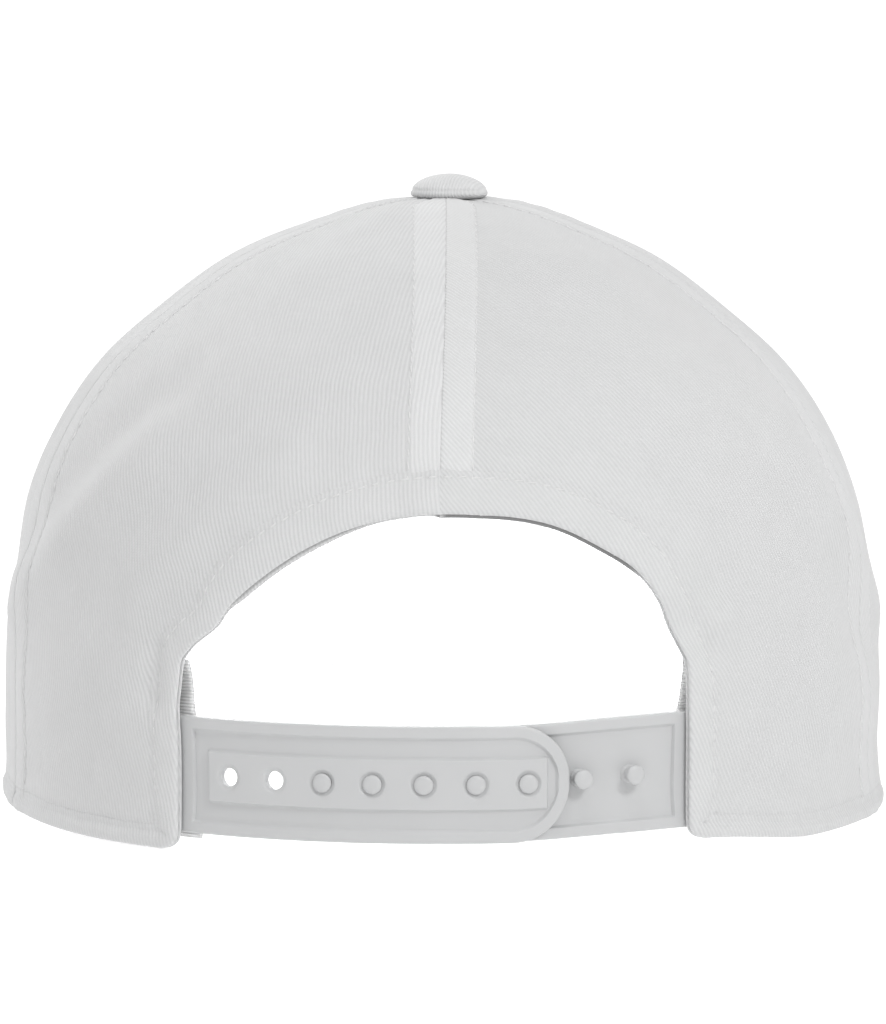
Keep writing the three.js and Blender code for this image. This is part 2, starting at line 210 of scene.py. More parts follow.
def crownSteps(angle, level):  # how the outside runs on for each radian round it and each level up it
    height, side, front, back = crownSection(level)
    reach = crownReach(angle, front, back)
    sine, cosine = math.sin(angle), math.cos(angle)
    around = Vector((crown["half"] * side * cosine, -reach * sine, (1 - height) * liftSlope(angle)))
    step = 1e-3
    low, high = crownSection(level - step), crownSection(level + step)
    share = 1 / (min(level + step, 1.0) - max(level - step, 0.0))
    heightStep, sideStep, frontStep, backStep = (above - below for above, below in zip(high, low))
    x = crown["half"] * sideStep * share * sine
    y = crownReach(angle, frontStep, backStep) * share * cosine
    return around, Vector((x, y, (crown["height"] - rimLift(angle)) * heightStep * share))


def crownNormal(angle, level):
    around, up = crownSteps(angle, level)
    normal = up.cross(around).normalized()
    normal.z *= smooth(level / 0.06)  # level at the rim, so the wall stands upright there
    return normal.normalized()


def foldShift(angle, height):
    turn = math.degrees(math.atan2(math.sin(angle), math.cos(angle)))
    perDegree = crown["half"] * math.pi / 180
    swell = wander(1, turn * perDegree / crown["swellWidth"], height / crown["swellHeight"])
    shift = crown["unevenness"] * swell
    for fromAngle, fromHeight, toAngle, toHeight, width, rise in foldRows:
        runX, runY = (toAngle - fromAngle) * perDegree, toHeight - fromHeight
        placeX, placeY = (turn - fromAngle) * perDegree, height - fromHeight
        share = (placeX * runX + placeY * runY) / (runX * runX + runY * runY)
        share = min(max(share, 0.0), 1.0)
        distance = math.hypot(placeX - runX * share, placeY - runY * share)
        if distance < 2.6 * width:
            shift += rise * bell(distance, width)
    return shift


def crownPlace(angle, level, out):  # out is the distance out of the smooth crown, less than 0 inside it
    place = crownOutside(angle, level)
    shift = foldShift(angle, place.z) * smooth(level / crown["foldsFade"])
    if math.cos(angle) > 0:
        sideways = mix(1, -1, smooth((place.z - crown["driftFrom"]) / crown["driftOver"]))
        place.x += crown["drift"] * bell(math.sin(angle), crown["driftSpread"]) * sideways
    return place + crownNormal(angle, level) * (shift + out)


tableSteps = 200
radiusTables = {}
riseTables = {}


def readTable(table, level):
    place = min(max(level, 0.0), 0.9999) * tableSteps
    return mix(table[int(place)], table[int(place) + 1], place - int(place))


def turnRadius(angle, level):  # millimetres round the crown for each radian
    key = round(angle, 4)
    if key not in radiusTables:
        steps = [index / tableSteps for index in range(tableSteps + 1)]
        radiusTables[key] = [crownSteps(angle, step)[0].length for step in steps]
    return readTable(radiusTables[key], level)


def lengthUp(angle, level):  # millimetres up along the crown's outside from the rim
    key = round(angle, 4)
    if key not in riseTables:
        lengths = [0.0]
        for index in range(tableSteps):
            step = crownOutside(angle, (index + 1) / tableSteps) - crownOutside(angle, index / tableSteps)
            lengths.append(lengths[-1] + step.length)
        riseTables[key] = lengths
    return readTable(riseTables[key], level)


# Meshes and objects


def newMesh():  # its layers come first, because adding one later drops what points at the mesh's points
    bm = bmesh.new()
    bm.loops.layers.uv.new("grain")
    bm.verts.layers.float.new("layers")
    return bm


def addObject(name, data):
    made = bpy.data.objects.new(name, data)
    bpy.context.scene.collection.objects.link(made)
    return made


def shadeSmooth(mesh, sharpAngle=None):
    for polygon in mesh.polygons:
        polygon.use_smooth = True
    if sharpAngle:
        mesh.set_sharp_from_angle(angle=math.radians(sharpAngle))


def newPiece(name, bm, finish, sharpAngle=None):
    bmesh.ops.translate(bm, verts=bm.verts, vec=(0, axisY, 0))
    bmesh.ops.scale(bm, verts=bm.verts, vec=(0.001, 0.001, 0.001))
    mesh = bpy.data.meshes.new(name)
    bm.to_mesh(mesh)
    bm.free()
    shadeSmooth(mesh, sharpAngle)
    mesh.materials.append(finish)
    return addObject(name, mesh)


# A divided sheet with two sides: place(column, row, side) gives each point, with side 0 inside and 1 outside.
def addSlab(bm, columns, rows, place, keep=None):
    made = bmesh.ops.create_grid(bm, x_segments=columns, y_segments=rows, size=0.5)
    corners = set(made["verts"])
    faces = [face for face in bm.faces if face.verts[0] in corners]

    def cell(co):
        return (co.x + 0.5) * columns, (co.y + 0.5) * rows

    if keep:
        gone = [face for face in faces if not keep(*cell(face.calc_center_median()))]
        bmesh.ops.delete(bm, geom=gone, context="FACES")
        faces = [face for face in faces if face.is_valid]
        corners = {vert for face in faces for vert in face.verts}
    grown = bmesh.ops.extrude_face_region(bm, geom=faces, use_keep_orig=True)["geom"]
    outer = {item for item in grown if isinstance(item, bmesh.types.BMVert)}
    keys = {vert: tuple(round(value) for value in cell(vert.co)) for vert in corners | outer}
    for vert, (column, row) in keys.items():
        vert.co = place(column, row, 1 if vert in outer else 0)
    used = {face for vert in keys for face in vert.link_faces}
    bmesh.ops.recalc_face_normals(bm, faces=list(used))
    return keys


def writeFlat(bm, flat):  # each point's place on the flat cloth, in millimetres
    layer = bm.loops.layers.uv["grain"]
    for vert, place in flat.items():
        for loop in vert.link_loops:
            loop[layer].uv = place


def writeMap(bm, keys, mapped):
    writeFlat(bm, {vert: mapped(*key) for vert, key in keys.items()})


def writeLayersAndPaintedShade(bm, shares):  # how much each point's cloth lies double, which its finish reads; a value below zero is painted shade instead, how dark the point is painted
    layer = bm.verts.layers.float["layers"]
    for vert, share in shares.items():
        vert[layer] = share


def addMesh(bm, part):
    joined = bpy.data.meshes.new("joined")
    part.to_mesh(joined)
    part.free()
    bm.from_mesh(joined)
    bpy.data.meshes.remove(joined)


# Stitches are short flattened beads of thread laid along a line of (point, normal).
def addStitches(bm, line, stitch, skip=0.0):
    lengths = [0.0]
    for (here, _), (there, _) in zip(line, line[1:]):
        lengths.append(lengths[-1] + (there - here).length)
    place = skip + stitch["length"] / 2
    index = 0
    beads = []
    while place < lengths[-1] - skip - stitch["length"] / 2:
        while lengths[index + 1] < place:
            index += 1
        share = (place - lengths[index]) / max(lengths[index + 1] - lengths[index], 1e-6)
        (here, normal), (there, _) = line[index], line[index + 1]
        along = (there - here).normalized()
        across = normal.cross(along).normalized()
        tilt = Matrix.Rotation(stitch["tilt"], 3, normal)
        centre = here.lerp(there, share) + normal * stitch["lift"]
        axes = Matrix((tilt @ along, tilt @ across, normal)).transposed()
        size = (stitch["length"] / 2, stitch["width"] / 2, stitch["width"] * 0.4)
        beads.append(Matrix.Translation(centre) @ axes.to_4x4() @ Matrix.Diagonal((*size, 1)))
        place += stitch["length"] + stitch["gap"]
    few = 24  # a small mesh is much quicker to add to
    for first in range(0, len(beads), few):
        part = bmesh.new()
        for bead in beads[first : first + few]:
            bmesh.ops.create_uvsphere(part, u_segments=6, v_segments=5, radius=1, matrix=bead)
        addMesh(bm, part)


# Finishes


class Value:
    def __init__(self, finish, socket):
        self.finish = finish
        self.socket = socket

    def maths(self, operation, first, second=0.0):
        made = self.finish.node("Math", {"operation": operation}, {0: first, 1: second})
        return Value(self.finish, made.outputs[0])

    def __add__(self, other):
        return self.maths("ADD", self, other)

    __radd__ = __add__

    def __sub__(self, other):
        return self.maths("SUBTRACT", self, other)

    def __rsub__(self, other):
        return self.maths("SUBTRACT", other, self)

    def __mul__(self, other):
        return self.maths("MULTIPLY", self, other)

    __rmul__ = __mul__

    def __pow__(self, other):
        return self.maths("POWER", self, other)

    def wave(self):  # from 0 to 1, once in each whole number
        return self.maths("COSINE", self * (2 * math.pi)) * 0.5 + 0.5


class Finish:
    def __init__(self, name):
        self.material = bpy.data.materials.new(name)
        self.material.use_nodes = True
        self.tree = self.material.node_tree
        self.tree.nodes.clear()

    def node(self, kind, settings, sockets):
        made = self.tree.nodes.new("ShaderNode" + kind)
        for key, value in settings.items():
            setattr(made, key, value)
        for key, value in sockets.items():
            if isinstance(value, Value):
                self.tree.links.new(value.socket, made.inputs[key])
            else:
                made.inputs[key].default_value = value
        return made

    def value(self, made, output=0):
        return Value(self, made.outputs[output])

    def flatCloth(self):  # the place on the flat cloth, and its two parts
        place = self.value(self.node("UVMap", {"uv_map": "grain"}, {}))
        parts = self.node("SeparateXYZ", {}, {"Vector": place})
        return place, self.value(parts, 0), self.value(parts, 1)

    def solid(self):
        return self.value(self.node("TexCoord", {}, {}), "Object")

    def noise(self, place, scale, detail=2.0):
        made = self.node("TexNoise", {}, {"Vector": place, "Scale": scale, "Detail": detail})
        return self.value(made, "Fac")

    def colours(self, share, first, second):
        made = self.node("Mix", {"data_type": "RGBA"}, {"Factor": share, 6: first, 7: second})
        return self.value(made, 2)

    def finished(self, surface, colour, height, distance, strength, roughness):
        bump = self.node("Bump", {}, {"Height": height, "Distance": distance, "Strength": strength})
        sockets = {"Base Color": colour, "Normal": self.value(bump), "Roughness": roughness, **surface}
        shader = self.node("BsdfPrincipled", {}, sockets)
        self.node("OutputMaterial", {}, {"Surface": self.value(shader)})
        return self.material


def grey(value, tint=0.0):
    return (value * (1 - tint), value, value * (1 + tint), 1.0)


twill = {
    "pitch": 0.82,  # millimetres from rib to rib
    "thread": 0.55,  # length of one thread's float along a rib
    "turn": 18.0,  # degrees from the grain to the ribs
    "waviness": 0.55,
    "valley": 0.54,
    "rib": 0.65,
    "tint": 0.004,
    "double": 0.045,  # how much lighter the cloth is where it lies double
    "shaded": 0.2,  # grey of the painted shade on the underside of a hem's inner fold
    "floats": 0.16,  # shares of the relief
    "slub": 0.35,
    "fuzz": 0.12,
    "mottle": 0.35,
    "bump": 0.00012,
}


def twillFinish(name):
    finish = Finish(name)
    place, across, up = finish.flatCloth()
    cosine, sine = math.cos(math.radians(twill["turn"])), math.sin(math.radians(twill["turn"]))
    sway = finish.noise(place, 0.09, 3.0)
    ribPlace = (across * cosine - up * sine + sway * (2 * twill["waviness"])) * (1 / twill["pitch"])
    alongRib = (up * cosine + across * sine) * (1 / twill["thread"])
    rib = ribPlace.wave() ** 0.8
    floats = (alongRib + ribPlace * 0.5).wave()
    slub = finish.noise(place, 1.1, 3.0)
    fuzz = finish.noise(place, 6.0, 2.0)
    height = rib * (0.62 + floats * twill["floats"]) + slub * twill["slub"] + fuzz * twill["fuzz"]
    # the layers attribute: above zero the cloth lies double, below zero it carries painted shade
    layers = finish.value(finish.node("Attribute", {"attribute_name": "layers"}, {}), "Fac")
    mottle = finish.noise(place, 0.12, 2.0)
    # the colour is lighter on the weave's ribs and slubs and darker in its valleys, painted shade that
    # follows the relief; the mottling is random tone
    share = rib * 0.5 + slub * 0.3 + mottle * twill["mottle"] - 0.05
    single = finish.colours(share, grey(twill["valley"], twill["tint"]), grey(twill["rib"], twill["tint"]))
    lowest, highest = twill["valley"] + twill["double"], twill["rib"] + twill["double"]
    double = finish.colours(share, grey(lowest, twill["tint"]), grey(highest, twill["tint"]))
    colour = finish.colours(layers, single, double)
    # below zero the layers attribute darkens the colour towards grey: painted shade on the hem's underside
    colour = finish.colours(0 - layers, colour, grey(twill["shaded"]))
    surface = {"Sheen Weight": 0.25, "Sheen Roughness": 0.5, "Specular IOR Level": 0.25}
    return finish.finished(surface, colour, height, twill["bump"], 0.9, 0.88)


def bandFinish(name):
    finish = Finish(name)
    place, across, up = finish.flatCloth()
    sway = finish.noise(place, 0.2, 2.0)
    rib = (up * (1 / 0.62) + sway * 0.5).wave()
    thread = (across * (1 / 0.5) + rib * 0.5).wave()
    height = rib * 0.8 + thread * 0.15 + finish.noise(place, 2.5, 2.0) * 0.3
    # the colour is darker between the ribs and threads, painted shade that follows the relief
    colour = finish.colours(rib * 0.7 + thread * 0.2, grey(0.72), grey(0.88))
    surface = {"Sheen Weight": 0.2, "Sheen Roughness": 0.5, "Specular IOR Level": 0.25}
    return finish.finished(surface, colour, height, 0.00016, 0.9, 0.9)


def threadFinish(name):
    finish = Finish(name)
    place = finish.solid()
    twist = finish.noise(place, 2600.0, 2.0)
    # the colour follows the same noise as the relief, darker where the thread lies low: painted shade
    colour = finish.colours(twist, grey(0.63), grey(0.70))
    surface = {"Sheen Weight": 0.2, "Specular IOR Level": 0.35}
    return finish.finished(surface, colour, twist, 0.00006, 0.6, 0.7)


def mouldedFinish(name):
    finish = Finish(name)
    place = finish.solid()
    cloudy = finish.noise(place, 90.0, 2.0)
    fine = finish.noise(place, 1800.0, 2.0)
    ripple = finish.noise(place, 260.0, 2.0)
    colour = finish.colours(cloudy, grey(0.51, 0.008), grey(0.54, 0.008))
    height = fine * 0.35 + ripple
    surface = {"Specular IOR Level": 0.45}
    roughness = fine * 0.1 + 0.36
    return finish.finished(surface, colour, height, 0.00003, 0.5, roughness)


clothFinish = twillFinish("cottonTwill")
tapeFinish = bandFinish("ribbedBand")
stitchFinish = threadFinish("whiteThread")
plasticFinish = mouldedFinish("mouldedPlastic")
print("finishes made")


# Panels

seam = {
    "band": 6.0,  # from the seam to its row of stitches
    "valley": 0.16,
    "valleyWidth": 0.45,
    "raised": 0.3,  # the allowance under the cloth lifts it
    "groove": 0.12,
    "grooveWidth": 0.6,
    "pucker": 0.09,
    "puckerPitch": 6.5,
    "puckerWidth": 2.6,
    "phasePitch": 30.0,  # millimetres over which the puckers' rhythm and depth change
    "depthPitch": 18.0,
    "steps": [0.0, 0.3, 0.65, 1.2, 2.4, 4.0, 5.0, 5.5, 5.9, 6.3, 6.8, 7.6, 9.0],
    "sideLighter": 0.4,  # lightness of the side seams' bands beside the middle one's
    "lightTo": 40.0,  # degrees from the middle of the back to where the lightness changes
    "reach": 14.0,  # relief farther than this from a seam is left out
    "length": 166.0,
    "squeeze": 0.44,  # the bands take at most this share of the panel's width
    "stitchedTo": 0.93,  # level of the last stitches
    "backStitchedTo": 0.965,
}
stitch = {"length": 2.1, "gap": 0.55, "width": 0.42, "lift": -0.02, "tilt": 0.12}
hem = {
    "arch": 7.3,  # from the edge to the stitches
    "side": 5.6,
    "rim": 3.2,
    "narrower": 0.6,  # beside the arch's shoulder
    "cornerNarrower": 1.4,
    "leftCorner": 3.1,  # radius of the panel's lower corner
    "rightCorner": 2.9,
    "leftLip": 0.75,  # how far the inner fold shows below the arch
    "rightLip": 0.4,
    # least painted shade on the lip rows of the right side's arch hem
    "rightShaded": 0.85,
    "lighter": 0.25,  # share of a seam band's lightness
    "wander": 0.22,
    "wanderPitch": 9.0,
    "ripple": 0.12,
    "ripplePitch": 4.6,
    "sunk": 0.55,  # how deep the panel's own cloth lies under the hem
    "rimRipple": 0.12,
    "rimRippleTurn": 1.9,
}
arch = {
    "left": 50.0,
    "right": 46.4,
    "top": 64.4,
    "shoulder": 36.0,
    "leftPower": (2.15, 2.15),  # near the middle and near the side
    "rightPower": (3.25, 4.35),
    "leftPull": 1.8,  # the left edge is pulled into the opening just above its shoulder
    "pullHeight": 42.6,
    "pullSpread": 2.2,
    "steps": (60, 30, 10),  # along the arch, down its side and round the lower corner
    "leftPinch": 0.8,  # the left side is drawn back a little under the arch's end
    "cornerAngle": 34.0,  # degrees from the middle of the back to the lower corners
}
backCut = (0.117, 0.166, 0.0122)  # width, length and area of the flat cloth, in metres
sideCut = (0.088, 0.166, 0.0119)
frontCut = (0.178, 0.158, 0.0199)
backSeam, frontSeam = crown["backSeam"], crown["frontSeam"]
panelRows = [
    {"name": "back_panel_left", "from": 0, "to": backSeam, "arch": "left", "columns": 44, "cut": backCut},
    {"name": "back_panel_right", "from": -backSeam, "to": 0, "arch": "right", "columns": 44, "cut": backCut},
    {"name": "side_panel_left", "from": backSeam, "to": frontSeam, "columns": 28, "cut": sideCut},
    {"name": "side_panel_right", "from": -frontSeam, "to": -backSeam, "columns": 28, "cut": sideCut},
    {"name": "front_panel", "from": frontSeam, "to": 360 - frontSeam, "columns": 56, "cut": frontCut},
]
grainTurns = {"back_panel_right": 9.0}  # degrees that a panel is cut off the grain
levelRows = 118
lowestLevel = 0.008


def middleOf(panel):
    return math.radians((panel["from"] + panel["to"]) / 2)


def flatPlace(panel, angle, level):
    middle = middleOf(panel)
    up = lengthUp(middle, level)
    across = (angle - middle) * turnRadius(middle, level)
    turn = math.radians(grainTurns.get(panel["name"], 0.0))
    return across * math.cos(turn) - up * math.sin(turn), across * math.sin(turn) + up * math.cos(turn)


def squeezeAt(panel, level):
    width = turnRadius(middleOf(panel), level) * math.radians(panel["to"] - panel["from"])
    return min(1.0, seam["squeeze"] * width / seam["steps"][-1])


def seamPlace(panel, angle, level):  # distance to the nearest seam, and which one it is
    fromSeam = abs(angle - math.radians(panel["from"]))
    toSeam = abs(angle - math.radians(panel["to"]))
    nearest = min(fromSeam, toSeam)
    side = 1 if fromSeam < toSeam else 2
    radius = turnRadius(math.radians(panel["from" if side == 1 else "to"]), level)
    return nearest * radius / squeezeAt(panel, level), side


def seamRelief(panel, angle, level):
    distance, side = seamPlace(panel, angle, level)
    if distance > seam["reach"]:
        return 0.0
    height = level * seam["length"]
    fromStitches = distance - seam["band"]
    relief = -seam["valley"] * bell(distance, seam["valleyWidth"])
    relief += seam["raised"] * (1 - smooth(fromStitches + 0.5))
    relief -= seam["groove"] * bell(fromStitches, seam["grooveWidth"])
    phase = 3 * wander(5 + side, height / seam["phasePitch"], panel["from"])
    ripple = math.sin(2 * math.pi * height / seam["puckerPitch"] + phase)
    depth = 0.6 + 0.7 * wander(9 + side, height / seam["depthPitch"], panel["to"])
    relief += seam["pucker"] * depth * ripple * bell(fromStitches, seam["puckerWidth"])
    return relief


def panelAngles(panel, level):
    fromAngle, toAngle = math.radians(panel["from"]), math.radians(panel["to"])
    squeeze = squeezeAt(panel, level)
    near = [fromAngle + step * squeeze / turnRadius(fromAngle, level) for step in seam["steps"]]
    far = [toAngle - step * squeeze / turnRadius(toAngle, level) for step in reversed(seam["steps"])]
    count = panel["columns"]
    return near + [mix(near[-1], far[0], index / count) for index in range(1, count)] + far


def sideAngle(half, level):  # where the crown is this far from its middle plane
    return math.asin(min(1.0, half / (crown["half"] * crownSection(level)[1])))


def roundedLine(flat):  # evens out the corner between the arch and its upright side
    rounded = list(flat)
    for _ in range(8):
        rounded = [
            rounded[0],
            *(
                tuple((a + 2 * b + c) / 4 for a, b, c in zip(before, here, after))
                for before, here, after in zip(rounded, rounded[1:], rounded[2:])
            ),
            rounded[-1],
        ]
    return rounded


# A back panel's edge as seen from behind, down to the rim: distance from the middle, height and hem width.
def archLine(side):
    half, corner = arch[side], hem[side + "Corner"]
    archSteps, sideSteps, cornerSteps = arch["steps"]
    pull, pinch = (arch["leftPull"], arch["leftPinch"]) if side == "left" else (0.0, 0.0)
    flat = []
    for index in range(archSteps + 1):
        share = math.sin(math.pi / 2 * index / archSteps)
        drop = share ** mix(*arch[side + "Power"], smooth((share - 0.6) / 0.3))
        width = mix(hem["arch"], hem["side"] - hem["narrower"], smooth((share - 0.68) / 0.24))
        height = mix(arch["top"], arch["shoulder"], drop)
        pulled = pull * bell(height - arch["pullHeight"], arch["pullSpread"])
        flat.append((half * share - pulled, height, width))
    bottom = rimLift(math.radians(arch["cornerAngle"] if side == "left" else -arch["cornerAngle"]))
    for index in range(1, sideSteps + 1):
        width = hem["side"] - hem["narrower"] * smooth(1 - index / 5)
        width -= hem["cornerNarrower"] * smooth((index - 22) / 8)
        height = mix(arch["shoulder"], bottom + corner, index / sideSteps)
        flat.append((half + pinch * bell(index - 6, 5), height, width))
    for index in range(1, cornerSteps + 1):
        turn = math.pi / 2 * index / cornerSteps
        x = half + corner * (1 - math.cos(turn))
        width = mix(hem["side"] - hem["cornerNarrower"], hem["rim"], smooth(index / 6))
        flat.append((x, bottom + corner * (1 - math.sin(turn)), width))
    return roundedLine(flat)


# The line of a panel's lower edge, as angle, level and hem width, from its start to its end.
def edgeLine(panel):
    points = []
    if "arch" in panel:
        heading = 1 if panel["arch"] == "left" else -1
        for x, height, width in archLine(panel["arch"]):
            level = 0.2
            for _ in range(3):
                angle = heading * sideAngle(x, level)
                level = levelFor(angle, height)
            points.append((angle, level, width))
        start, end = points[-1][0], math.radians(heading * crown["backSeam"])
    else:
        start, end = math.radians(panel["from"]), math.radians(panel["to"])
        points.append((start, 0.0, hem["rim"]))
    count = max(8, int(abs(end - start) * crown["half"] / 1.6))
    for index in range(1, count + 1):
        points.append((mix(start, end, index / count), 0.0, hem["rim"]))
    return points


# Section of a hem, from inside to outside: share of its width, a length added to that,
# how far out of the cloth, how much it follows the inner fold's lip, and how much painted shade it carries.
hemSection = [
    (1.0, 1.5, -1.1, 0.0, 0.0),
    (1.0, 0.6, -1.55, 0.0, 0.0),
    (1.0, -1.0, -1.75, 0.0, 0.0),
    (0.5, 0.0, -1.8, 0.0, 0.0),
    (0.0, 1.3, -1.8, 0.6, 0.0),
    (0.0, 0.5, -1.75, 1.0, 0.7),
    (0.0, 0.12, -1.65, 1.0, 1.0),
    (0.0, 0.0, -1.45, 1.0, 0.35),
    (0.0, 0.08, -1.2, 1.0, 0.0),
    (0.0, 0.5, -1.05, 0.8, 0.3),
    (0.0, 1.0, -0.95, 0.0, 0.8),
    (0.0, 0.3, -0.8, 0.0, 0.4),
    (0.0, 0.05, -0.6, 0.0, 0.0),
    (0.0, 0.0, -0.35, 0.0, 0.0),
    (0.0, 0.12, -0.05, 0.0, 0.0),
    (0.0, 0.5, 0.18, 0.0, 0.0),
    (0.0, 1.2, 0.28, 0.0, 0.0),
    (0.3, 0.6, 0.3, 0.0, 0.0),
    (0.6, 0.2, 0.3, 0.0, 0.0),
    (1.0, -1.0, 0.24, 0.0, 0.0),
    (1.0, -0.45, 0.12, 0.0, 0.0),
    (1.0, -0.15, -0.02, 0.0, 0.0),
    (1.0, 0.15, -0.08, 0.0, 0.0),
    (1.0, 0.5, -0.02, 0.0, 0.0),
    (1.0, 1.0, 0.0, 0.0, 0.0),
    (1.0, 1.6, -0.14, 0.0, 0.0),
    (1.0, 2.4, -0.7, 0.0, 0.0),
]


def edgeFrames(line):  # for each point: its place, and the step in angle and level for a millimetre inwards
    frames = []
    for index, (angle, level, width) in enumerate(line):
        before, after = line[max(index - 1, 0)], line[min(index + 1, len(line) - 1)]
        along = crownOutside(after[0], after[1]) - crownOutside(before[0], before[1])
        normal = crownNormal(angle, max(level, 0.02))
        inward = normal.cross(along).normalized()
        if index and inward.dot(frames[-1]["inward"]) < 0:
            inward = -inward
        if not index and inward.z < 0:
            inward = -inward
        around, up = crownSteps(angle, level)
        aa, au, uu = around.dot(around), around.dot(up), up.dot(up)
        ia, iu = inward.dot(around), inward.dot(up)
        bottom = aa * uu - au * au
        turn, rise = (ia * uu - iu * au) / bottom, (iu * aa - ia * au) / bottom
        if index in (0, len(line) - 1):  # there the hem ends in a seam
            turn = 0.0
        place = crownPlace(angle, level, 0)
        frames.append({"angle": angle, "level": level, "width": width, "inward": inward})
        frames[-1].update({"turn": turn, "rise": rise, "place": place})
    for _ in range(6):  # spreads the lines across the hem evenly round its corners
        turns = [item["turn"] for item in frames]
        rises = [item["rise"] for item in frames]
        for index in range(1, len(frames) - 1):
            frames[index]["turn"] = (turns[index - 1] + 2 * turns[index] + turns[index + 1]) / 4
            frames[index]["rise"] = (rises[index - 1] + 2 * rises[index] + rises[index + 1]) / 4
    travelled = 0.0
    for index, item in enumerate(frames):
        if index:
            travelled += (item["place"] - frames[index - 1]["place"]).length
        item["along"] = travelled
    return frames


def hemPlace(panel, item, distance, out):
    angle = item["angle"] + item["turn"] * distance
    level = max(0.0, item["level"] + item["rise"] * distance)
    relief = seamRelief(panel, angle, level)
    return crownPlace(angle, level, out + relief), (angle, level)


def hemWander(item):  # slow unevenness of the stitched edge
    along = item["along"]
    slow = hem["wander"] * wander(21, along / hem["wanderPitch"], item["width"])
    return slow + hem["ripple"] * math.sin(2 * math.pi * along / hem["ripplePitch"])


def lightOver(distance, width):
    return hem["lighter"] * (1 - smooth((distance - width + 0.6) / 0.8))


def makeHem(panel, frames):
    bm = newMesh()
    columns, rows = len(frames) - 1, len(hemSection) - 1
    made = bmesh.ops.create_grid(bm, x_segments=columns, y_segments=rows, size=0.5)
    flat = {}
    shares = {}
    for vert in made["verts"]:
        column, row = round((vert.co.x + 0.5) * columns), round((vert.co.y + 0.5) * rows)
        item = frames[column]
        widthShare, added, out, follows, shaded = hemSection[row]
        inArch = smooth((item["width"] - hem["side"]) / 1.2)
        lip = hem["rightLip"]
        if item["angle"] > 0:
            lip = hem["leftLip"] * smooth((item["angle"] - 0.1) / 0.2)
        distance = widthShare * item["width"] + added - follows * lip * inArch
        puckered = bell(distance - item["width"], 2.5) if out > -1 else 0.0
        out += puckered * 0.7 * hemWander(item)
        if item["width"] < hem["rim"] + 0.1:
            wave = math.sin(item["along"] * hem["rimRippleTurn"])
            out += hem["rimRipple"] * wave * wander(31, item["along"] / 14) * bell(distance - 1.5, 1.5)
        vert.co, (angle, level) = hemPlace(panel, item, distance, out)
        flat[vert] = flatPlace(panel, angle, level)
        shares[vert] = lightOver(distance, item["width"])
        # rows under the arch's edge carry painted shade, written below zero into the layers attribute
        if follows > 0 and item["angle"] < 0:
            shaded = max(shaded, hem["rightShaded"])
        if shaded * inArch > 0.05:
            shares[vert] = -shaded * inArch
    middle = frames[columns // 2]
    outward = crownNormal(middle["angle"], max(middle["level"], 0.02))
    near = [face for face in bm.faces if (face.calc_center_median() - middle["place"]).length < 4]
    outermost = max(near, key=lambda face: face.calc_center_median().dot(outward))
    bm.normal_update()
    if outermost.normal.dot(outward) < 0:
        bmesh.ops.reverse_faces(bm, faces=bm.faces)
    writeFlat(bm, flat)
    writeLayersAndPaintedShade(bm, shares)
    return bm


def makePanel(panel):
    bm = newMesh()
    frames = edgeFrames(edgeLine(panel))
    nearest = kdtree.KDTree(len(frames))
    for index, item in enumerate(frames):
        nearest.insert(item["place"], index)
    nearest.balance()
    angles = [panelAngles(panel, mix(lowestLevel, 1.0, row / levelRows)) for row in range(levelRows + 1)]
    columns = len(angles[0]) - 1

    def fromEdge(place):  # signed distance from the panel's lower edge, and the width of the hem there
        _, index, _ = nearest.find(place)
        item = frames[index]
        away = place - item["place"]
        inside = away.dot(item["inward"])
        return (away.length if inside > 0 else -away.length), item["width"]

    cells = {}

    def cellAt(column, row):
        if (column, row) not in cells:
            low, high = int(row), min(int(row) + 1, levelRows)
            left, right = int(column), min(int(column) + 1, columns)
            level = mix(lowestLevel, 1.0, row / levelRows)
            lowAngle = mix(angles[low][left], angles[low][right], column - left)
            highAngle = mix(angles[high][left], angles[high][right], column - left)
            angle = mix(lowAngle, highAngle, row - low)
            distance, width = fromEdge(crownPlace(angle, level, 0)) if level < 0.5 else (99.0, hem["rim"])
            cells[column, row] = (angle, level, distance, width)
        return cells[column, row]

    def keep(column, row):
        left, low = int(column), int(row)
        corners = [(left, low), (left + 1, low), (left, low + 1), (left + 1, low + 1)]
        return min(cellAt(*corner)[2] for corner in corners) > 0.3

    def place(column, row, side):
        angle, level, distance, width = cellAt(column, row)
        relief = seamRelief(panel, angle, level)
        under = 1 - smooth((distance - width - 0.3) / 1.1)
        if side:
            return crownPlace(angle, level, relief - hem["sunk"] * under)
        if column in (0, columns):  # the inner sides of two panels meet in the seam
            angle = math.radians(panel["to" if column else "from"])
        return crownPlace(angle, level, -crown["wall"])

    keys = addSlab(bm, columns, levelRows, place, keep)
    writeMap(bm, keys, lambda column, row: flatPlace(panel, *cellAt(column, row)[:2]))
    shares = {}
    for vert, key in keys.items():
        angle, level, distance, width = cellAt(*key)
        fromSeam, _ = seamPlace(panel, angle, level)
        inBand = 1 - smooth((fromSeam - seam["band"] + 0.3) / 0.6)
        if "arch" not in panel or abs(math.degrees(angle)) > seam["lightTo"]:
            inBand *= seam["sideLighter"]
        shares[vert] = max(inBand, lightOver(distance, width))
    writeLayersAndPaintedShade(bm, shares)
    return bm, frames


def seamLine(angle, offset, fromLevel, toLevel, panel):  # a line beside a seam, for its stitches
    line = []
    count = 160
    for index in range(count + 1):
        level = mix(fromLevel, toLevel, index / count)
        seamAngle = math.radians(angle)
        turned = seamAngle + offset * squeezeAt(panel, level) / turnRadius(seamAngle, level)
        out = seamRelief(panel, turned, level)
        line.append((crownPlace(turned, level, out), crownNormal(turned, level)))
    return line


